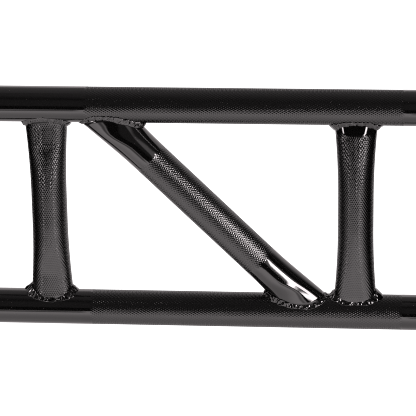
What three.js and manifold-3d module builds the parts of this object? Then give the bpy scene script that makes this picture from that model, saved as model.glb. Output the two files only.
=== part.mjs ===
// A section of a welded ladder frame: two horizontal rails of round steel tube joined by two upright
// grips and one diagonal grip. The ends of the grips are pressed oval and coped to sit on the rails,
// and each joint is closed by four weld passes, one on each flattened face and one round each side.
// Millimetres. X runs along the rails, Z goes up, the front of the frame faces -Y, and the origin is
// the middle of the frame.
import * as THREE from 'three';
import { mergeVertices } from 'three/addons/utils/BufferGeometryUtils.js';
import Module from 'manifold-3d';

const wasm = await Module();
wasm.setup();

// Tube and frame
const TUBE_RADIUS = 33.4 / 2;
const TUBE_WALL = 3;
const RAIL_LENGTH = 450;
const RAIL_SPACING = 201.5;
const LEFT_GRIP_X = -143.4;
const RIGHT_GRIP_X = 143.9;
const DIAGONAL_TOP_X = -99;
const DIAGONAL_BOTTOM_X = 105;
const END_CHAMFER = 0.6;
const VENT_RADIUS = 4;

// The ridges of the knurled bands lie a little below the plain tube, with a short ramp at each end
const KNURL_SINK = 0.15;
const KNURL_RAMP = 0.8;
const RAIL_KNURL = { from: -107, to: 189 };

// Pressing: how much squarer a grip's section gets for each millimetre its faces drop
const SQUARENESS = 0.044;

// Weld beads: the leg on a flattened face, the bulge over a straight fillet, the angle round the
// grip where a face's pass meets a side's pass, and half the parting between them
const FACE_LEG = 2.8;
const BEAD_BULGE = 1.3;
const PASS_CORNER = 0.72;
const PASS_PARTING = 0.012;

// Clearances and facets
const GAP = 0.3;
const RAIL_SIDES = 40;
const GRIP_SIDES = 28;
const BEAD_SIDES = 8;
const FACE_PASS_STEPS = 8;
const SIDE_PASS_STEPS = 6;
const OVERRUN = 20;

const UP = new THREE.Vector3(0, 0, 1);
const FRONT = new THREE.Vector3(0, -1, 0);

// knurl: the band along the grip's axis, from its middle. spread and drop: how its ends widen at the
// sides and sink at the faces, as bends that each add a slope from a height on. legs: the bead's leg
// at the grip's right and left sides, for the top and the bottom joint.
const GRIPS = [
  {
    name: 'left_grip',
    middle: new THREE.Vector3(LEFT_GRIP_X, 0, 0),
    direction: UP,
    knurl: { from: -82.5, to: 82.5 },
    spread: [{ from: 15, reach: 75, slope: 0.101 }],
    drop: [{ from: 15, reach: 45, slope: 0.17 }, { from: 58, reach: 10, slope: -0.17 }],
    legs: { top: [4.6, 4], bottom: [5, 6.6] },
  },
  {
    name: 'right_grip',
    middle: new THREE.Vector3(RIGHT_GRIP_X, 0, 0),
    direction: UP,
    knurl: { from: -82.5, to: 78.5 },
    spread: [{ from: 15, reach: 75, slope: 0.101 }],
    drop: [{ from: 15, reach: 75, slope: 0.1515 }],
    legs: { top: [4.6, 5.4], bottom: [5.8, 5.2] },
  },
  {
    name: 'diagonal_grip',
    middle: new THREE.Vector3((DIAGONAL_TOP_X + DIAGONAL_BOTTOM_X) / 2, 0, 0),
    direction: new THREE.Vector3(DIAGONAL_TOP_X - DIAGONAL_BOTTOM_X, 0, RAIL_SPACING).normalize(),
    knurl: { from: -74.3, to: 72.4 },
    spread: [{ from: 52, reach: 18, slope: 0.085 }],
    drop: [{ from: 66, reach: 8, slope: 0.2 }, { from: 77, reach: 8, slope: -0.17 }],
    legs: { top: [6, 2.6], bottom: [2, 6] },
  },
];

const finish = {
  rail: { color: 0x1c1b1b, roughness: 0.14, metalness: 0 },
  grip: { color: 0x1c1b1b, roughness: 0.18, metalness: 0 },
  weld: { color: 0x191818, roughness: 0.1, metalness: 0 },
};

function toSolid(geometry) {
  geometry.deleteAttribute('normal');
  geometry.deleteAttribute('uv');
  const merged = mergeVertices(geometry);
  return new wasm.Manifold(new wasm.Mesh({
    numProp: 3,
    vertProperties: merged.attributes.position.array,
    triVerts: new Uint32Array(merged.index.array),
  }));
}

function toMesh(name, solid, look) {
  const { vertProperties, triVerts } = solid.getMesh();
  const geometry = new THREE.BufferGeometry();
  geometry.setAttribute('position', new THREE.BufferAttribute(vertProperties, 3));
  geometry.setIndex(new THREE.BufferAttribute(triVerts, 1));
  geometry.computeVertexNormals();
  const mesh = new THREE.Mesh(geometry, new THREE.MeshStandardMaterial(look));
  mesh.name = name;
  return mesh;
}

// A capped tube-like solid: one ring per station, each vertex put where place(station, x, y) says,
// with (x, y) running round the unit circle and (0, 0) at the middle of each cap.
function loft(sides, stations, place) {
  const steps = stations.length - 1;
  const geometry = new THREE.CylinderGeometry(1, 1, 1, sides, steps);
  const position = geometry.attributes.position;
  for (let i = 0; i < position.count; i++) {
    const station = stations[Math.round((position.getY(i) + 0.5) * steps)];
    const point = place(station, position.getX(i), position.getZ(i));
    position.setXYZ(i, point.x, point.y, point.z);
  }
  return toSolid(geometry);
}

function evenly(from, to, steps) {
  return Array.from({ length: steps + 1 }, (_, i) => from + (to - from) * i / steps);
}

// ---- Rails ----

// The rail's outer shape as a filled bar about the X axis, grown by the given offset
function railBar(offset) {
  const end = RAIL_LENGTH / 2 + (offset > 0 ? OVERRUN : 0);
  const plain = TUBE_RADIUS + offset;
  const crest = plain - KNURL_SINK;
  const outline = [
    [0, -end],
    [plain - END_CHAMFER, -end],
    [plain, -end + END_CHAMFER],
    [plain, RAIL_KNURL.from],
    [crest, RAIL_KNURL.from + KNURL_RAMP],
    [crest, RAIL_KNURL.to - KNURL_RAMP],
    [plain, RAIL_KNURL.to],
    [plain, end - END_CHAMFER],
    [plain - END_CHAMFER, end],
    [0, end],
  ].map(([radius, along]) => new THREE.Vector2(radius, along));
  const bar = new THREE.LatheGeometry(outline, RAIL_SIDES);
  bar.rotateZ(-Math.PI / 2);
  return toSolid(bar);
}

// The space each rail takes, which the grips' ends and the weld beads are cut back to
const railCutters = {
  top: railBar(GAP).translate([0, 0, RAIL_SPACING / 2]),
  bottom: railBar(GAP).translate([0, 0, -RAIL_SPACING / 2]),
};

// A vent hole through the rail's inner wall under each grip, which lets gas out while it is coated
function ventHole(grip, side) {
  const hole = new THREE.CylinderGeometry(VENT_RADIUS, VENT_RADIUS, TUBE_RADIUS * 2, 16);
  hole.rotateX(Math.PI / 2);
  hole.translate(axisPoint(grip, side * (RAIL_SPACING / 2 - TUBE_RADIUS)).x, 0, -side * TUBE_RADIUS);
  return toSolid(hole);
}

function makeRail(name, side) {
  const bore = new THREE.CylinderGeometry(
    TUBE_RADIUS - TUBE_WALL, TUBE_RADIUS - TUBE_WALL, RAIL_LENGTH + OVERRUN, RAIL_SIDES);
  bore.rotateZ(-Math.PI / 2);
  let tube = railBar(0).subtract(toSolid(bore));
  for (const grip of GRIPS) tube = tube.subtract(ventHole(grip, side));
  const mesh = toMesh(name, tube, finish.rail);
  mesh.position.z = side * RAIL_SPACING / 2;
  return mesh;
}

// ---- Grips ----

// The direction across a grip in the plane of the frame, towards +X
function across(grip) {
  return new THREE.Vector3(grip.direction.z, 0, -grip.direction.x);
}

// The point of a grip's centre line at a given height
function axisPoint(grip, height) {
  return grip.middle.clone().addScaledVector(grip.direction, height / grip.direction.z);
}

// The sum of bends at a height: each curves over its reach and then runs straight
function bent(bends, height) {
  return bends.reduce((total, { from, reach, slope }) => {
    const past = Math.max(0, height - from);
    const curved = Math.min(past, reach);
    return total + slope * (curved ** 2 / (2 * reach) + past - curved);
  }, 0);
}

// A point of a grip's surface. (x, y) is on the unit circle: x across the frame's plane, y to the
// front. Near its ends the circle spreads across the plane and flattens from front to back.
function gripPoint(grip, along, x, y, offset) {
  const middle = grip.middle.clone().addScaledVector(grip.direction, along);
  const spread = bent(grip.spread, Math.abs(middle.z));
  const drop = bent(grip.drop, Math.abs(middle.z + TUBE_RADIUS * x * across(grip).z));
  const power = 1 / (1 + SQUARENESS * drop);
  const sideways = (TUBE_RADIUS + spread + offset) * Math.sign(x) * Math.abs(x) ** power;
  const forwards = (TUBE_RADIUS - drop + offset) * Math.sign(y) * Math.abs(y) ** power;
  return middle.addScaledVector(across(grip), sideways).addScaledVector(FRONT, forwards);
}

// A grip's outer shape as a filled bar, from rail centre to rail centre, grown by the given offset
function gripBar(grip, offset, knurled) {
  const { from, to } = grip.knurl;
  const end = RAIL_SPACING / 2 / grip.direction.z;
  const stations = [
    ...evenly(-end, from, 5),
    ...evenly(from + KNURL_RAMP, to - KNURL_RAMP, 8),
    ...evenly(to, end, 5),
  ];
  return loft(GRIP_SIDES, stations, (along, x, y) => {
    const sunk = knurled && along > from && along < to ? KNURL_SINK : 0;
    return gripPoint(grip, along, x, y, offset - sunk);
  });
}

// The bore has no knurl and runs the whole length of the grip
function gripBore(grip) {
  const end = RAIL_SPACING / 2 / grip.direction.z;
  return loft(GRIP_SIDES, evenly(-end, end, 12), (along, x, y) => (
    gripPoint(grip, along, x, y, -TUBE_WALL)));
}

function makeGrip(grip) {
  const tube = gripBar(grip, 0, true).subtract(gripBore(grip));
  return toMesh(grip.name, tube.subtract(railCutters.top).subtract(railCutters.bottom), finish.grip);
}

// ---- Welds ----

// The point at a given angle round a grip where its surface meets the rail on that side (+1 top)
function saddlePoint(grip, side, angle) {
  let along = side * (RAIL_SPACING / 2 - TUBE_RADIUS) / grip.direction.z;
  let point;
  for (let i = 0; i < 6; i++) {
    point = gripPoint(grip, along, Math.cos(angle), Math.sin(angle), 0);
    const railHeight = RAIL_SPACING / 2 - Math.sqrt(TUBE_RADIUS ** 2 - point.y ** 2);
    along += (side * railHeight - point.z) / grip.direction.z;
  }
  return point;
}

// The bead's frame at an angle: out of the corner, and broad across it
function beadFrame(grip, side, angle) {
  const step = 0.01;
  const point = saddlePoint(grip, side, angle);
  const tangent = saddlePoint(grip, side, angle + step)
    .sub(saddlePoint(grip, side, angle - step)).normalize();
  const offGrip = tangent.clone().cross(grip.direction).normalize();
  if (offGrip.dot(point.clone().sub(axisPoint(grip, point.z))) < 0) offGrip.negate();
  const offRail = new THREE.Vector3(0, point.y, point.z - side * RAIL_SPACING / 2).normalize();
  const out = offGrip.clone().add(offRail).normalize();
  return { point, out, broad: out.clone().cross(tangent), halfAngle: Math.asin(out.dot(offGrip)) };
}

// The leg shortens smoothly from each side of the joint to its flattened faces
function legAt(grip, side, angle) {
  const [right, left] = side > 0 ? grip.legs.top : grip.legs.bottom;
  const sideLeg = Math.cos(angle) > 0 ? right : left;
  return FACE_LEG + (sideLeg - FACE_LEG) * Math.cos(angle) ** 2;
}

// One weld pass between two angles: an elliptical bead laid in the corner and cut by both tubes
function makeWeld(name, grip, side, from, to, steps) {
  const bead = loft(BEAD_SIDES, evenly(from, to, steps), (angle, x, y) => {
    const { point, out, broad, halfAngle } = beadFrame(grip, side, angle);
    const leg = legAt(grip, side, angle);
    const depth = BEAD_BULGE * leg * Math.cos(halfAngle);
    const width = leg * Math.sin(halfAngle) / Math.sqrt(1 - BEAD_BULGE ** -2);
    return point.addScaledVector(out, depth * x).addScaledVector(broad, width * y);
  });
  const cutter = side > 0 ? railCutters.top : railCutters.bottom;
  return toMesh(name, bead.subtract(cutter).subtract(gripBar(grip, GAP, true)), finish.weld);
}

// The four passes of a joint, parted at the corners of the pressed section
function makeJoint(grip, side) {
  const joint = `${grip.name.replace('_grip', '')}_${side > 0 ? 'top' : 'bottom'}`;
  const passes = [
    ['right', -PASS_CORNER, PASS_CORNER, SIDE_PASS_STEPS],
    ['front', PASS_CORNER, Math.PI - PASS_CORNER, FACE_PASS_STEPS],
    ['left', Math.PI - PASS_CORNER, Math.PI + PASS_CORNER, SIDE_PASS_STEPS],
    ['back', Math.PI + PASS_CORNER, 2 * Math.PI - PASS_CORNER, FACE_PASS_STEPS],
  ];
  return passes.map(([place, from, to, steps]) => {
    const name = `${joint}_${place}_weld`;
    return makeWeld(name, grip, side, from + PASS_PARTING, to - PASS_PARTING, steps);
  });
}

const frame = new THREE.Group();
frame.add(makeRail('upper_rail', 1), makeRail('lower_rail', -1));
for (const grip of GRIPS) {
  frame.add(makeGrip(grip), ...makeJoint(grip, 1), ...makeJoint(grip, -1));
}

export default frame;
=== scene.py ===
"""Looks for the welded ladder frame section: knurled tubes, pressed grip ends, rippled weld beads,
gloss black coat, and a pale studio. Metres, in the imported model's frame: X along the rails, Z up,
front towards -Y. A side of +1 is the top of the frame and -1 its bottom."""

import math
from collections import namedtuple

import bpy
import numpy as np
from mathutils import Matrix, Vector


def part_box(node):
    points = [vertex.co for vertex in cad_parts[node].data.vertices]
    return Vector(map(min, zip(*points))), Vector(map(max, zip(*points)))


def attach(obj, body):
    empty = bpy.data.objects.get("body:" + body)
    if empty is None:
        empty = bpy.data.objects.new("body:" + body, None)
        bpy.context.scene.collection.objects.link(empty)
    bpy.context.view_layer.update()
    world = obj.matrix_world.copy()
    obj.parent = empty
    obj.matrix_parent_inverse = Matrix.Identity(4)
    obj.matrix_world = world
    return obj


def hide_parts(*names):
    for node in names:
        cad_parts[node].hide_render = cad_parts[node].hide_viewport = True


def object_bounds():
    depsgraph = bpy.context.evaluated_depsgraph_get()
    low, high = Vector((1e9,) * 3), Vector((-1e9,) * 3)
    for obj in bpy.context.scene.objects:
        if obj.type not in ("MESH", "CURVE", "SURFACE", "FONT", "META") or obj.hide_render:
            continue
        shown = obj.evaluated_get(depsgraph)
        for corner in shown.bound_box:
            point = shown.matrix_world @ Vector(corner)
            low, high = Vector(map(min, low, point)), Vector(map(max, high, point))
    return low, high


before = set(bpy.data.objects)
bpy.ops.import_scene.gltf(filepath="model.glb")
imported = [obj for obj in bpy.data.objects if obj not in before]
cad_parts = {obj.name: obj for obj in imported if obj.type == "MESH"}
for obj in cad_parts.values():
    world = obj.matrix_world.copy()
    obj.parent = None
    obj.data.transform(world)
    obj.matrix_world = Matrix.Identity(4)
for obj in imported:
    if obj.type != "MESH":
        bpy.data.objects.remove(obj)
cad_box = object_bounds()

MM = 0.001

# ---- Driving dimensions ----

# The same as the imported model's. SQUARENESS is how much squarer a grip's section gets as its faces
# drop. PASS_CORNER is the angle round a grip where the weld pass on a face meets the one at a side.
TUBE_RADIUS = 16.7 * MM
TUBE_WALL = 3 * MM
END_CHAMFER = 0.6 * MM
RAIL_KNURL = (-107 * MM, 189 * MM)
KNURL_SINK = 0.15 * MM
DIAGONAL_RUN = -204 * MM
SQUARENESS = 0.044 / MM
SADDLE_GAP = 0.3 * MM
PASS_CORNER = 0.72

# The knurl's diamonds: the depth of their grooves, how many go round a tube, half their length
# along it, how far out towards its neighbours a diamond's top reaches, how far the top falls from
# its middle to its corners, and over how many rows the diamonds rise at each end of a band.
KNURL_RELIEF = 0.36 * MM
KNURL_STARTS = 50
KNURL_HALF_PITCH = 1.8 * MM
TOP_SHARE = 0.55
TOP_DROP = 0.06 * MM
RAIL_FADE_ROWS = 2
GRIP_FADE_ROWS = 3

rail_low, rail_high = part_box("upper_rail")
RAIL_HEIGHT = (rail_low.z + rail_high.z) / 2
RAIL_END = rail_high.x
SITES = 2 * KNURL_STARTS
FRONT = np.array([0.0, -1.0, 0.0])
SADDLE_TRIES = 8


def bent(bends, height):
    """The sum of bends at a height: each is (start, reach, slope) with its lengths in mm, and
    curves over its reach, then runs straight."""
    total = 0
    for start, reach, slope in bends:
        past = np.maximum(0, height / MM - start)
        curved = np.minimum(past, reach)
        total = total + slope * MM * (curved**2 / (2 * reach) + past - curved)
    return total


class Grip:
    """A tube between the rails. run: how far its top lies to the right of its bottom. knurl: its
    knurled band along its axis, in mm. follows: 1 where the band's bottom and top end runs level
    with the coped end, 0 where it is a flat ring. spread and drop: the bends by which its ends
    widen at the sides and sink at the faces. legs: for each side, the beads' legs at its right and
    left, in mm."""

    def __init__(self, name, run, knurl, follows, spread, drop, legs):
        low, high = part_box(name + "_grip")
        self.name = name
        self.middle = np.array([(low.x + high.x) / 2, 0.0, 0.0])
        axis = np.array([run, 0.0, 2 * RAIL_HEIGHT])
        self.direction = axis / np.linalg.norm(axis)
        self.across = np.array([self.direction[2], 0.0, -self.direction[0]])
        self.knurl = [edge * MM for edge in knurl]
        self.follows = follows
        self.spread = spread
        self.drop = drop
        self.legs = {side: [leg * MM for leg in pair] for side, pair in legs.items()}

    def section(self, along, angle, offset=0.0):
        """How far across and to the front the surface lies, at each place along and angle."""
        x, y = np.cos(angle), np.sin(angle)
        height = self.direction[2] * along
        spread = bent(self.spread, np.abs(height))
        drop = bent(self.drop, np.abs(height + TUBE_RADIUS * x * self.across[2]))
        power = 1 / (1 + SQUARENESS * drop)
        across = (TUBE_RADIUS + spread + offset) * np.sign(x) * np.abs(x) ** power
        forwards = (TUBE_RADIUS - drop + offset) * np.sign(y) * np.abs(y) ** power
        return across, forwards

    def place(self, along, across, forwards):
        """Points in the frame from places along the grip, across it and to its front."""
        return (
            self.middle
            + np.multiply.outer(along, self.direction)
            + np.multiply.outer(across, self.across)
            + np.multiply.outer(forwards, FRONT)
        )

    def saddle(self, side, angle, gap=0.0, offset=0.0):
        """Where along the grip its surface meets the rail on that side, at each angle."""
        along = np.full_like(angle, side * (RAIL_HEIGHT - TUBE_RADIUS) / self.direction[2])
        for _ in range(SADDLE_TRIES):
            across, forwards = self.section(along, angle, offset)
            height = self.place(along, across, forwards)[..., 2]
            rail = RAIL_HEIGHT - np.sqrt(np.maximum(0, (TUBE_RADIUS + gap) ** 2 - forwards**2))
            along = along + (side * rail - height) / self.direction[2]
        return along


UPRIGHT_SPREAD = [(15, 75, 0.101)]
GRIPS = [
    Grip(
        name="left",
        run=0,
        knurl=(-82.5, 82.5),
        follows=(1, 1),
        spread=UPRIGHT_SPREAD,
        drop=[(15, 45, 0.17), (58, 10, -0.17)],
        legs={1: (4.6, 4), -1: (5, 6.6)},
    ),
    Grip(
        name="right",
        run=0,
        knurl=(-82.5, 78.5),
        follows=(1, 0),
        spread=UPRIGHT_SPREAD,
        drop=[(15, 75, 0.1515)],
        legs={1: (4.6, 5.4), -1: (5.8, 5.2)},
    ),
    Grip(
        name="diagonal",
        run=DIAGONAL_RUN,
        knurl=(-74.3, 72.4),
        follows=(0, 0),
        spread=[(52, 18, 0.085)],
        drop=[(66, 8, 0.2), (77, 8, -0.17)],
        legs={1: (6, 2.6), -1: (2, 6)},
    ),
]


# ---- Mesh helpers ----


def add_mesh(name, points, faces, material, crisp=0):
    """A mesh of shaded-smooth faces, apart from the first few, which are crisp."""
    mesh = bpy.data.meshes.new(name)
    mesh.from_pydata(np.asarray(points).tolist(), [], faces)
    mesh.polygons.foreach_set("use_smooth", [i >= crisp for i in range(len(faces))])
    mesh.materials.append(material)
    obj = bpy.data.objects.new(name, mesh)
    bpy.context.scene.collection.objects.link(obj)
    return obj


def strip_faces(low, high):
    """Quads between two closed rings of point numbers."""
    low_next, high_next = np.roll(low, -1), np.roll(high, -1)
    return np.stack([low, low_next, high_next, high], 1).tolist()


class TubeSkin:
    """Collects rings of points into one closed tube, with diamonds between the knurled rings. Its
    crisp faces, the diamonds' tops, come first."""

    def __init__(self):
        self.points = []
        self.faces = []
        self.count = 0
        self.crisp = 0

    def add(self, points):
        """Keeps the points and returns their numbers."""
        numbers = np.arange(self.count, self.count + len(points))
        self.points.append(points)
        self.count += len(points)
        return numbers

    def knurl(self, rings, normals, fade):
        """Diamonds with broad, nearly flat tops on a grid of rings. Sites whose row and column
        add up to an odd number are the diamonds' middles, and the others are crossings of
        grooves. fade is each ring's share of the full height. Returns the numbers of the first
        and the last ring."""
        rows = len(rings)
        odd = (np.arange(rows)[:, None] + np.arange(SITES)[None, :]) % 2 == 1
        height = np.where(odd, -KNURL_SINK, -KNURL_SINK - KNURL_RELIEF) * fade[:, None]
        base = self.add((rings + normals * height[..., None]).reshape(-1, 3)).reshape(rows, SITES)

        r, k = np.nonzero(odd[1:-1])
        r = r + 1
        around = [(r, (k - 1) % SITES), (r - 1, k), (r, (k + 1) % SITES), (r + 1, k)]
        lift = normals[r, k] * ((-KNURL_SINK - TOP_DROP) * fade[r])[:, None]
        corners = []
        for site in around:
            spot = rings[r, k] * (1 - TOP_SHARE) + rings[site] * TOP_SHARE
            corners.append(self.add(spot + lift))
        sides = list(zip(corners, corners[1:] + corners[:1], around, around[1:] + around[:1]))
        for a, b, _, _ in sides:
            self.faces += np.stack([base[r, k], a, b], 1).tolist()
        self.crisp = len(self.faces)
        for a, b, site_a, site_b in sides:
            self.faces += np.stack([a, base[site_a], base[site_b], b], 1).tolist()

        self.close_row(base[0], base[1], odd[0], False)
        self.close_row(base[-1], base[-2], odd[-1], True)
        return base[0], base[-1]

    def close_row(self, row, inner_row, odd, is_last):
        """The half diamonds between the outermost row of a band and the row inside it."""
        (k,) = np.nonzero(odd)
        left, right, inward = row[(k - 1) % SITES], row[(k + 1) % SITES], inner_row[k]
        ends = [(left, inward), (inward, right)] if is_last else [(inward, left), (right, inward)]
        for a, b in ends:
            self.faces += np.stack([row[k], a, b], 1).tolist()

    def join(self, rings):
        """Faces from each ring to the next."""
        for low, high in zip(rings, rings[1:]):
            self.faces += strip_faces(low, high)

    def make(self, name, material):
        return add_mesh(name, np.concatenate(self.points), self.faces, material, self.crisp)


def knurl_fade(rows, fade_rows):
    """Each row's share of the knurl's height: 0 at both ends of the band, rising over fade_rows."""
    from_end = np.minimum(np.arange(rows), np.arange(rows)[::-1])
    t = np.clip(from_end / fade_rows, 0, 1)
    return t * t * (3 - 2 * t)


# ---- Rails ----

CHAMFER_EASE = 0.3
PLAIN_LEFT_RINGS = 12
PLAIN_RIGHT_RINGS = 5
RAIL_BORE_RINGS = 9


def rail_ring(x, radius, height):
    """A ring of a rail, and the way out of the rail at each of its points."""
    angle = 2 * np.pi * np.arange(SITES) / SITES
    out = np.stack([np.zeros(SITES), np.cos(angle), np.sin(angle)], 1)
    return np.array([x, 0, height]) + out * radius, out


def make_rail(name, side, material):
    height = side * RAIL_HEIGHT
    skin = TubeSkin()
    rows = round((RAIL_KNURL[1] - RAIL_KNURL[0]) / KNURL_HALF_PITCH) + 1
    band = [rail_ring(x, TUBE_RADIUS, height) for x in np.linspace(*RAIL_KNURL, rows)]
    rings, normals = (np.array(part) for part in zip(*band))
    first, last = skin.knurl(rings, normals, knurl_fade(rows, RAIL_FADE_ROWS))
    bore = TUBE_RADIUS - TUBE_WALL

    def plain(x, radius):
        return skin.add(rail_ring(x, radius, height)[0])

    def cut_end(end, inwards):
        """From the bore's edge over the chamfer, which is slightly rounded, to the outside."""
        return [
            plain(end, bore + END_CHAMFER / 2),
            plain(end, TUBE_RADIUS - END_CHAMFER),
            plain(end + inwards * END_CHAMFER * CHAMFER_EASE, TUBE_RADIUS - END_CHAMFER * CHAMFER_EASE),
            plain(end + inwards * END_CHAMFER, TUBE_RADIUS),
        ]

    left = cut_end(-RAIL_END, 1)
    plain_left = np.linspace(-RAIL_END, RAIL_KNURL[0], PLAIN_LEFT_RINGS)[1:-1]
    left += [plain(x, TUBE_RADIUS) for x in plain_left]
    plain_right = np.linspace(RAIL_KNURL[1], RAIL_END, PLAIN_RIGHT_RINGS)[1:-1]
    right = [plain(x, TUBE_RADIUS) for x in plain_right]
    right += cut_end(RAIL_END, -1)[::-1]
    bore_end = RAIL_END - END_CHAMFER
    inside = [plain(x, bore) for x in np.linspace(bore_end, -bore_end, RAIL_BORE_RINGS)]
    skin.join([*left, first])
    skin.join([last, *right, *inside, left[0]])
    return skin.make(name, material)


# ---- Grips ----

FINE_STEPS = 1440
FINE_ANGLES = np.linspace(-np.pi / 2, 3 * np.pi / 2, FINE_STEPS + 1)
PLAIN_END_STEPS = 12
GRIP_BORE_STEPS = 10


def grip_ring(grip, along, offset=0.0):
    """A ring spaced evenly round the section, and the way out of the grip at each of its points.
    along is one place, or one for each fine angle."""
    along = along + np.zeros_like(FINE_ANGLES)
    across, forwards = grip.section(along, FINE_ANGLES, offset)
    steps = np.hypot(np.diff(across), np.diff(forwards))
    walked = np.concatenate([[0], np.cumsum(steps)])
    wanted = walked[-1] * np.arange(SITES) / SITES
    around = [np.interp(wanted, walked, values) for values in (along, across, forwards)]
    ahead = [np.roll(v, -1) - np.roll(v, 1) for v in around[1:]]
    length = np.hypot(*ahead)
    normal = np.multiply.outer(ahead[1] / length, grip.across)
    normal -= np.multiply.outer(ahead[0] / length, FRONT)
    return grip.place(*around), normal


def knurl_edges(grip):
    """Where the knurled band ends at each fine angle: on a flat ring, or level with the coped end."""
    for side, edge, follows in zip((-1, 1), grip.knurl, grip.follows):
        saddle = grip.saddle(side, FINE_ANGLES, SADDLE_GAP)
        yield edge + follows * (saddle - side * np.abs(saddle).min())


def make_grip(grip, material):
    skin = TubeSkin()
    rows = round((grip.knurl[1] - grip.knurl[0]) / KNURL_HALF_PITCH) + 1
    low, high = knurl_edges(grip)
    band = [grip_ring(grip, low * (1 - t) + high * t) for t in np.linspace(0, 1, rows)]
    rings, normals = (np.array(part) for part in zip(*band))
    first, last = skin.knurl(rings, normals, knurl_fade(rows, GRIP_FADE_ROWS))

    def coped(side, edge, offset, steps):
        """Rings from the coped end to the ring at edge."""
        saddle = grip.saddle(side, FINE_ANGLES, SADDLE_GAP, offset)
        for t in np.linspace(0, 1, steps + 1):
            yield skin.add(grip_ring(grip, saddle * (1 - t) + edge * t, offset)[0])

    bottom = list(coped(-1, low, 0, PLAIN_END_STEPS))[:-1]
    top = list(coped(1, high, 0, PLAIN_END_STEPS))[:-1]
    bore_top = list(coped(1, 0, -TUBE_WALL, GRIP_BORE_STEPS))
    bore_bottom = list(coped(-1, 0, -TUBE_WALL, GRIP_BORE_STEPS))[:-1]
    skin.join([*bottom, first])
    skin.join([last, *top[::-1], *bore_top, *bore_bottom[::-1], bottom[0]])
    return skin.make(grip.name + "_grip_tube", material)


# ---- Weld beads ----

# FACE_LEG is the leg on the flattened faces, for each side. A pass runs PASS_OVERLAP past each of
# its corners, as an angle, and starts and stops at LEAST_TAPER of its full size.
FACE_LEG = {1: 2.5 * MM, -1: 2.2 * MM}
BEAD_BULGE = 0.04
TOE_SINK = 0.12 * MM
ROOT_DEPTH = 0.8 * MM
PASS_OVERLAP = 0.05
LEAST_TAPER = 0.45
TAPER_LENGTH = 2.2 * MM

PROFILE_POINTS = 11
FINE_BEAD_POINTS = 400
BEAD_STEP = 0.45 * MM
LEAST_BEAD_STEPS = 12
TANGENT_STEP = 0.01

# Ripples are arcs whose middles lag behind their ends by RIPPLE_LAG
RIPPLE_PITCH = 2.9 * MM
RIPPLE_HEIGHT = 0.5 * MM
RIPPLE_LAG = 1.1 * MM
RIPPLE_MEAN = 0.5

# What makes a pass uneven: how much, over what length, and a shift of the pass's seed. LEG, TOE
# and RIPPLE_SIZE are shares of what they change; the others are lengths.
Wobble = namedtuple("Wobble", "size scale shift")
LEG = Wobble(0.16, 3.4 * MM, 0)
TOE = Wobble(0.16, 2.4 * MM, 4)
RIPPLE_SIZE = Wobble(0.4, 2.7 * MM, 2)
RIPPLE_DRIFT = Wobble(1.2 * MM, 2.2 * MM, 7)
LUMP = Wobble(0.35 * MM, 1.5 * MM, 5)
TWIST = Wobble(0.35 * MM, 1.1 * MM, 9)

# The waves that add up to a wobble: each one's length, phase and share
WAVES = ((1, 1.0, 0.5), (0.53, 2.3, 0.3), (0.31, 3.1, 0.2))


def unit(v):
    return v / np.linalg.norm(v, axis=-1, keepdims=True)


def turned_to(vectors, goal):
    """The vectors, turned round where they point away from the goal."""
    return vectors * np.sign(np.sum(vectors * goal, -1, keepdims=True))


def wobble(kind, length, seed):
    """A smooth wobble along a bead, between about plus and minus its size."""
    phase = seed + kind.shift
    waves = (share * np.sin(length / (kind.scale * wave) + phase * turn) for wave, turn, share in WAVES)
    return kind.size * sum(waves)


def saddle_points(grip, side, angle):
    along = grip.saddle(side, angle)
    return grip.place(along, *grip.section(along, angle))


def bead_stations(grip, side, start, stop):
    """Places spaced evenly along a pass: how far along it each one is, and its angle."""
    fine = np.linspace(start - PASS_OVERLAP, stop + PASS_OVERLAP, FINE_BEAD_POINTS)
    point = saddle_points(grip, side, fine)
    walked = np.concatenate([[0], np.cumsum(np.linalg.norm(np.diff(point, axis=0), axis=1))])
    steps = max(LEAST_BEAD_STEPS, round(walked[-1] / BEAD_STEP))
    length = np.linspace(0, walked[-1], steps + 1)
    return length, np.interp(length, walked, fine)


def bead_frame(grip, side, angle):
    """The corner's point at each angle, and the ways along it, off the grip and off the rail."""
    point = saddle_points(grip, side, angle)
    ahead = saddle_points(grip, side, angle + TANGENT_STEP)
    tangent = unit(ahead - saddle_points(grip, side, angle - TANGENT_STEP))
    along = (point - grip.middle) @ grip.direction
    outward = point - grip.middle - np.multiply.outer(along, grip.direction)
    off_grip = turned_to(unit(np.cross(tangent, grip.direction)), outward)
    off_rail = unit(point * [0, 1, 1] - np.array([0, 0, side * RAIL_HEIGHT]))
    return point, tangent, off_grip, off_rail


def bead_leg(grip, side, angle):
    """The leg shortens smoothly from each side of the joint to its flattened faces."""
    right, left = grip.legs[side]
    side_leg = np.where(np.cos(angle) > 0, right, left)
    return FACE_LEG[side] + (side_leg - FACE_LEG[side]) * np.cos(angle) ** 2


def onto_rail(points, side):
    """The points, moved straight in or out to the rail's surface."""
    spoke = (points - np.array([0, 0, side * RAIL_HEIGHT])) * [0, 1, 1]
    return points + unit(spoke) * (TUBE_RADIUS - np.linalg.norm(spoke, axis=1))[:, None]


def bead_relief(length, seed, across, crown):
    """Ripples of uneven pitch and size, and lumps, at each place along and across a bead."""
    drifted = length + wobble(RIPPLE_DRIFT, length, seed)
    turns = (drifted[:, None] + RIPPLE_LAG * crown) / RIPPLE_PITCH
    height = RIPPLE_HEIGHT * (1 - RIPPLE_SIZE.size + wobble(RIPPLE_SIZE, length, seed))
    ripple = height[:, None] * (np.abs(np.sin(np.pi * turns)) - RIPPLE_MEAN) * np.sqrt(crown)
    lumps = wobble(LUMP, length, seed)[:, None] * np.sin(np.pi * across)
    twists = wobble(TWIST, length, seed)[:, None] * np.sin(2 * np.pi * across)
    return ripple + lumps + twists


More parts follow.
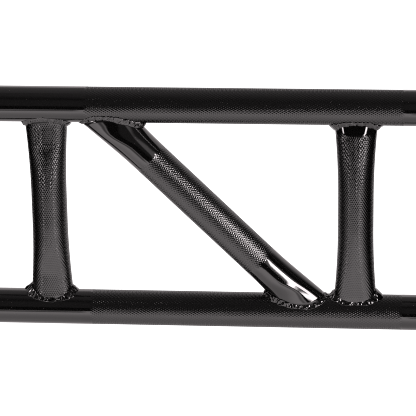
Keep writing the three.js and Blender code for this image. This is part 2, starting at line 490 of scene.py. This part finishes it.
def make_bead(grip, side, place, start, stop, seed, material):
    """One pass: a convex fillet with ripples and lumps, tapered at both ends. Also returns the
    name of its node."""
    length, angle = bead_stations(grip, side, start, stop)
    point, tangent, off_grip, off_rail = bead_frame(grip, side, angle)
    out = unit(off_grip + off_rail)
    up_grip = turned_to(unit(np.cross(tangent, off_grip)), off_rail)
    along_rail = turned_to(unit(np.cross(tangent, off_rail)), off_grip)

    from_end = np.minimum(length, length[-1] - length)
    taper = LEAST_TAPER + (1 - LEAST_TAPER) * np.sqrt(np.clip(from_end / TAPER_LENGTH, 0, 1))
    leg = bead_leg(grip, side, angle) * (1 + wobble(LEG, length, seed)) * taper
    rail_leg = leg * (1 + wobble(TOE, length, seed))
    grip_toe = point + up_grip * leg[:, None] - off_grip * TOE_SINK
    rail_toe = onto_rail(point + along_rail * rail_leg[:, None], side)
    half_corner = np.arccos(np.clip(np.sum(off_grip * off_rail, -1), -1, 1)) / 2
    bulge = BEAD_BULGE * leg * np.cos(half_corner)

    across = np.linspace(0, 1, PROFILE_POINTS)
    crown = 4 * across * (1 - across)
    lift = bulge[:, None] * crown + bead_relief(length, seed, across, crown)
    arc = (
        grip_toe[:, None] * (1 - across)[:, None]
        + rail_toe[:, None] * across[:, None]
        + out[:, None] * lift[..., None]
    )
    root = (point - out * ROOT_DEPTH)[:, None]
    rings = np.concatenate([arc, root], 1)

    numbers = np.arange(rings.shape[0] * rings.shape[1]).reshape(rings.shape[:2])
    faces = []
    for low, high in zip(numbers, numbers[1:]):
        faces += strip_faces(low, high)
    faces.append(numbers[0][::-1].tolist())
    faces.append(numbers[-1].tolist())
    name = f"{grip.name}_{'top' if side > 0 else 'bottom'}_{place}"
    return add_mesh(name + "_bead", rings.reshape(-1, 3), faces, material), name + "_weld"


def joint_passes():
    """The four passes of a joint, with the angles where each starts and stops."""
    corner = PASS_CORNER
    return [
        ("right", -corner, corner),
        ("front", corner, math.pi - corner),
        ("left", math.pi - corner, math.pi + corner),
        ("back", math.pi + corner, 2 * math.pi - corner),
    ]


# ---- Shader helpers ----


def nodes_of(material):
    material.use_nodes = True
    tree = material.node_tree
    return tree, tree.nodes["Principled BSDF"]


def noise(tree, coords, scale):
    node = tree.nodes.new("ShaderNodeTexNoise")
    node.inputs["Scale"].default_value = scale
    tree.links.new(coords.outputs["Object"], node.inputs["Vector"])
    return node.outputs["Fac"]


def remap(tree, value, low, high, out_low, out_high):
    node = tree.nodes.new("ShaderNodeMapRange")
    for i, number in enumerate((low, high, out_low, out_high)):
        node.inputs[i + 1].default_value = number
    tree.links.new(value, node.inputs[0])
    return node.outputs[0]


def smooth_step(tree, value, low, high):
    """0 at low, 1 at high, and eased between them."""
    node = tree.nodes.new("ShaderNodeMapRange")
    node.interpolation_type = "SMOOTHSTEP"
    node.inputs["From Min"].default_value = low
    node.inputs["From Max"].default_value = high
    tree.links.new(value, node.inputs["Value"])
    return node.outputs["Result"]


def math_node(tree, operation, *values):
    """The result of an operation on numbers and other nodes' outputs."""
    node = tree.nodes.new("ShaderNodeMath")
    node.operation = operation
    for socket, value in zip(node.inputs, values):
        if isinstance(value, (int, float)):
            socket.default_value = value
        else:
            tree.links.new(value, socket)
    return node.outputs[0]


def product(tree, a, b):
    return math_node(tree, "MULTIPLY", a, b)


def dot(tree, vector, fixed):
    node = tree.nodes.new("ShaderNodeVectorMath")
    node.operation = "DOT_PRODUCT"
    tree.links.new(vector, node.inputs[0])
    node.inputs[1].default_value = fixed
    return node.outputs["Value"]


# ---- Materials ----

BLACK = (0.002, 0.0018, 0.0018)
COAT_IOR = 1.5

# Haze changes the roughness by patches, dust lightens the colour in specks, and peel is the fine
# waviness of the coat. Scales are in waves per metre and bands are of the noise's value.
HAZE_SCALE = 60
HAZE_BAND = (0.3, 0.7)
HAZE_ROUGHNESS = (0.8, 1.25)
DUST_SCALE = 900
DUST_BAND = (0.45, 0.75)
DUST_LIGHTNESS = 2.2
PEEL_SCALE = 350
PEEL_DEPTH = 0.05 * MM


def gloss_black(name, roughness, peel):
    """Gloss black coat on steel: faint orange peel, soft haze patches and a few dust specks."""
    material = bpy.data.materials.new(name)
    tree, shader = nodes_of(material)
    coords = tree.nodes.new("ShaderNodeTexCoord")
    haze = noise(tree, coords, HAZE_SCALE)
    rough = remap(tree, haze, *HAZE_BAND, *[roughness * share for share in HAZE_ROUGHNESS])
    tree.links.new(rough, shader.inputs["Roughness"])
    mix = tree.nodes.new("ShaderNodeMix")
    mix.data_type = "RGBA"
    mix.inputs["A"].default_value = (*BLACK, 1)
    mix.inputs["B"].default_value = (*[c * DUST_LIGHTNESS for c in BLACK], 1)
    dust = noise(tree, coords, DUST_SCALE)
    tree.links.new(remap(tree, dust, *DUST_BAND, 0, 1), mix.inputs["Factor"])
    tree.links.new(mix.outputs["Result"], shader.inputs["Base Color"])
    bump = tree.nodes.new("ShaderNodeBump")
    bump.inputs["Strength"].default_value = peel
    bump.inputs["Distance"].default_value = PEEL_DEPTH
    tree.links.new(noise(tree, coords, PEEL_SCALE), bump.inputs["Height"])
    tree.links.new(bump.outputs["Normal"], shader.inputs["Normal"])
    shader.inputs["IOR"].default_value = COAT_IOR
    return material


# ---- Camera ----

CAMERA_AZIMUTH = 5.143
CAMERA_ELEVATION = 19.701
CAMERA_ROLL = -0.892
CAMERA_DISTANCE = 2.21855
CAMERA_LENS = 205.47
CAMERA_TARGET = Vector((6.03 * MM, 0, 0.71 * MM))
CAMERA_CLIP = (0.01, 200)


def direction(azimuth, elevation):
    """Azimuth 0 is the front and 90 the right, both in degrees."""
    a, e = math.radians(azimuth), math.radians(elevation)
    return Vector((math.sin(a) * math.cos(e), -math.cos(a) * math.cos(e), math.sin(e)))


def make_camera():
    back = direction(CAMERA_AZIMUTH, CAMERA_ELEVATION)
    data = bpy.data.cameras.new("camera")
    data.lens = CAMERA_LENS
    data.clip_start, data.clip_end = CAMERA_CLIP
    camera = bpy.data.objects.new("camera", data)
    level = back.to_track_quat("Z", "Y").to_matrix()
    turned = level @ Matrix.Rotation(math.radians(CAMERA_ROLL), 3, "Z")
    place = Matrix.Translation(CAMERA_TARGET + back * CAMERA_DISTANCE)
    camera.matrix_world = place @ turned.to_4x4()
    bpy.context.scene.collection.objects.link(camera)
    bpy.context.scene.camera = camera


# ---- Studio ----

DOME_RADIUS = 1.2
DOME_STEPS = 48
PALE = (0.95, 0.95, 0.95)
WARM = (1.0, 0.93, 0.945)

# How bright the room is round the part's long axis, at each angle: 0 is level in front of the
# part, 90 overhead, 180 level behind it and -90 below it
ROOM_STOPS = [
    (-180, 1.0),
    (-150, 1.15),
    (-136, 0.95),
    (-110, 0.95),
    (-80, 1.1),
    (-60, 1.5),
    (-45, 2.0),
    (-34, 2.8),
    (-27, 3.1),
    (-18, 3.1),
    (-15.5, 2.6),
    (-13.5, 0.0),
    (5, 0.0),
    (10, 0.14),
    (38, 0.14),
    (46, 0.07),
    (52, 0.07),
    (65, 0.2),
    (100, 0.35),
    (141, 0.5),
    (147, 1.4),
    (165, 1.1),
    (180, 1.0),
]

# The room fades out to the sides: how far sideways a direction points where nothing is left of it,
# and where it starts to fade
ROOM_SIDES = (0.86, 0.66)

# Lights and shades in the room. The place, width, height, tilt and soft edge are in degrees; the
# level is how bright a light is, or how much of all the light a flag takes away.
Panel = namedtuple("Panel", "azimuth elevation width height tilt edge level")
SOFT_BOXES = {
    "right_panel": Panel(45, 16, 40, 42, 0, 8, 1.2),
    "key_strip": Panel(39, 9, 8, 46, -36, 2.5, 28),
    "left_panel": Panel(-68, 14, 48, 40, 0, 10, 1.2),
    "key_foot": Panel(50, 14, 20, 13, 38, 2.5, 24),
    "left_strip": Panel(-38, -5, 11, 9, 0, 3, 24),
    "left_lamp": Panel(-60, 34, 18, 18, 0, 4, 18),
}
FLAGS = {
    "left_flag": Panel(-36, -21, 56, 14, 0, 6, 0.75),
    "right_flag": Panel(15, -21.5, 20, 12, 0, 5, 0.55),
}

FLOOR_DROP = 0.5
FLOOR_REACH = 30.0
FLOOR_COLOUR = (0.9, 0.9, 0.9)
FLOOR_ROUGHNESS = 0.9
FLOOR_GLOW = 0.35


def make_world():
    """An even pale light on everything."""
    world = bpy.data.worlds.new("studio")
    bpy.context.scene.world = world
    world.use_nodes = True
    world.node_tree.nodes["Background"].inputs["Color"].default_value = (*PALE, 1)


def in_camera(tree, vector):
    """A direction's parts to the camera's right, up and ahead."""
    node = tree.nodes.new("ShaderNodeVectorTransform")
    node.vector_type = "VECTOR"
    node.convert_from = "WORLD"
    node.convert_to = "CAMERA"
    if isinstance(vector, Vector):
        node.inputs[0].default_value = vector
    else:
        tree.links.new(vector, node.inputs[0])
    split = tree.nodes.new("ShaderNodeSeparateXYZ")
    tree.links.new(node.outputs[0], split.inputs[0])
    return split.outputs


def turned_with_camera(tree, vector):
    """The direction in a studio that turns about the upright axis with the camera, so that every
    side of the part is lit like its front."""
    height = tree.nodes.new("ShaderNodeSeparateXYZ")
    tree.links.new(vector, height.inputs[0])
    z = height.outputs[2]
    seen = in_camera(tree, vector)
    up = in_camera(tree, Vector((0, 0, 1)))
    level_squared = math_node(tree, "ADD", product(tree, up[0], up[0]), product(tree, up[1], up[1]))
    level = math_node(tree, "SQRT", level_squared)
    right = math_node(tree, "SUBTRACT", product(tree, seen[0], up[1]), product(tree, seen[1], up[0]))
    right = math_node(tree, "DIVIDE", right, level)
    ahead = math_node(tree, "SUBTRACT", seen[2], product(tree, z, up[2]))
    ahead = math_node(tree, "DIVIDE", ahead, level)
    cosine = math.cos(math.radians(CAMERA_AZIMUTH))
    sine = math.sin(math.radians(CAMERA_AZIMUTH))
    x = math_node(tree, "SUBTRACT", product(tree, right, cosine), product(tree, ahead, sine))
    y = math_node(tree, "ADD", product(tree, right, sine), product(tree, ahead, cosine))
    joined = tree.nodes.new("ShaderNodeCombineXYZ")
    for socket, value in zip(joined.inputs, (x, y, z)):
        tree.links.new(value, socket)
    return joined.outputs[0]


def soft_panel(tree, vector, panel):
    """The panel's level where the direction meets it, fading to 0 over its edge."""
    centre = direction(panel.azimuth, panel.elevation)
    level_right = Vector((0, 0, 1)).cross(centre).normalized()
    level_up = centre.cross(level_right)
    tilt = math.radians(panel.tilt)
    right = level_right * math.cos(tilt) + level_up * math.sin(tilt)
    up = level_up * math.cos(tilt) - level_right * math.sin(tilt)
    ahead = dot(tree, vector, centre)
    inside = math_node(tree, "GREATER_THAN", ahead, 0)
    for axis, size in ((right, panel.width), (up, panel.height)):
        angle = math_node(tree, "ARCTAN2", dot(tree, vector, axis), ahead)
        offset = math_node(tree, "ABSOLUTE", angle)
        outer = math.radians(size / 2)
        inner = outer - math.radians(panel.edge)
        inside = product(tree, inside, smooth_step(tree, offset, outer, inner))
    return product(tree, inside, panel.level)


def room_light(tree, vector):
    """How bright the room is in a direction, before the soft boxes and flags."""
    split = tree.nodes.new("ShaderNodeSeparateXYZ")
    tree.links.new(vector, split.inputs[0])
    x, y, z = split.outputs
    level_part = math_node(tree, "SQRT", math_node(tree, "SUBTRACT", 1.0, product(tree, z, z)))
    forwards = product(tree, math_node(tree, "SIGN", y), -1.0)
    angle = math_node(tree, "ARCTAN2", z, product(tree, level_part, forwards))
    ramp = tree.nodes.new("ShaderNodeValToRGB")
    tree.links.new(remap(tree, angle, -math.pi, math.pi, 0, 1), ramp.inputs[0])
    elements = ramp.color_ramp.elements
    while len(elements) > 1:
        elements.remove(elements[-1])
    strongest = max(level for _, level in ROOM_STOPS)
    for i, (degrees, level) in enumerate(ROOM_STOPS):
        place = (degrees + 180) / 360
        element = elements[0] if i == 0 else elements.new(place)
        element.position = place
        element.color = (*[level / strongest] * 3, 1)
    sides = smooth_step(tree, math_node(tree, "ABSOLUTE", x), *ROOM_SIDES)
    return product(tree, ramp.outputs[0], product(tree, sides, strongest))


def dome_material():
    """What the gloss reflects: pale floor in front, dark room above it, bright wall behind, and
    soft boxes."""
    material = bpy.data.materials.new("studio_dome")
    tree, shader = nodes_of(material)
    tree.nodes.remove(shader)
    coords = tree.nodes.new("ShaderNodeTexCoord")
    unit_vector = tree.nodes.new("ShaderNodeVectorMath")
    unit_vector.operation = "NORMALIZE"
    tree.links.new(coords.outputs["Object"], unit_vector.inputs[0])
    vector = turned_with_camera(tree, unit_vector.outputs[0])
    total = room_light(tree, vector)
    for panel in SOFT_BOXES.values():
        total = math_node(tree, "ADD", total, soft_panel(tree, vector, panel))
    for panel in FLAGS.values():
        total = product(tree, total, math_node(tree, "SUBTRACT", 1.0, soft_panel(tree, vector, panel)))
    emission = tree.nodes.new("ShaderNodeEmission")
    emission.inputs["Color"].default_value = (*WARM, 1)
    tree.links.new(total, emission.inputs["Strength"])
    tree.links.new(emission.outputs[0], tree.nodes["Material Output"].inputs["Surface"])
    material.cycles.emission_sampling = "NONE"
    return material


def make_dome():
    """A ball round the part that only its reflections see."""
    bpy.ops.mesh.primitive_uv_sphere_add(
        segments=2 * DOME_STEPS, ring_count=DOME_STEPS, radius=DOME_RADIUS
    )
    dome = bpy.context.object
    dome.name = "studio_dome"
    dome.data.materials.append(dome_material())
    dome.visible_camera = False
    dome.visible_diffuse = False
    dome.visible_shadow = False
    dome.visible_transmission = False


def make_floor():
    """A wide pale floor that the gloss doesn't reflect, as the dome stands in for it."""
    height = cad_box[0].z - FLOOR_DROP
    ways = ((-1, -1), (1, -1), (1, 1), (-1, 1))
    corners = [(x * FLOOR_REACH, y * FLOOR_REACH, height) for x, y in ways]
    material = bpy.data.materials.new("pale_floor")
    _, shader = nodes_of(material)
    shader.inputs["Base Color"].default_value = (*FLOOR_COLOUR, 1)
    shader.inputs["Roughness"].default_value = FLOOR_ROUGHNESS
    shader.inputs["Emission Color"].default_value = (1, 1, 1, 1)
    shader.inputs["Emission Strength"].default_value = FLOOR_GLOW
    floor = add_mesh("studio_floor", corners, [(0, 1, 2, 3)], material)
    floor.visible_glossy = False


# ---- Build ----

# Each pass has a seed of its own: the top joints' seeds come after the bottom joints'
TOP_SEED = 13

rail_coat = gloss_black("rail_coat", roughness=0.09, peel=0.15)
grip_coat = gloss_black("grip_coat", roughness=0.06, peel=0.1)
weld_coat = gloss_black("weld_coat", roughness=0.07, peel=0.1)


def stand_in(piece, node):
    """Puts the piece in the place of its node."""
    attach(piece, "root")
    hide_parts(node)


for side, level in ((1, "upper"), (-1, "lower")):
    stand_in(make_rail(f"{level}_rail_tube", side, rail_coat), f"{level}_rail")
for number, grip in enumerate(GRIPS):
    stand_in(make_grip(grip, grip_coat), f"{grip.name}_grip")
    passes = joint_passes()
    for side in (1, -1):
        for order, (place, start, stop) in enumerate(passes):
            seed = 1 + order + len(passes) * number + TOP_SEED * (side > 0)
            bead, node = make_bead(grip, side, place, start, stop, seed, weld_coat)
            stand_in(bead, node)

make_world()
make_dome()
make_floor()
make_camera()
bpy.context.scene.view_settings.view_transform = "Standard"

# The knurl is so fine that the denoiser and the usual wide pixel filter would smear it
PIXEL_FILTER = 1.0
bpy.context.scene.cycles.use_denoising = False
bpy.context.scene.cycles.filter_width = PIXEL_FILTER
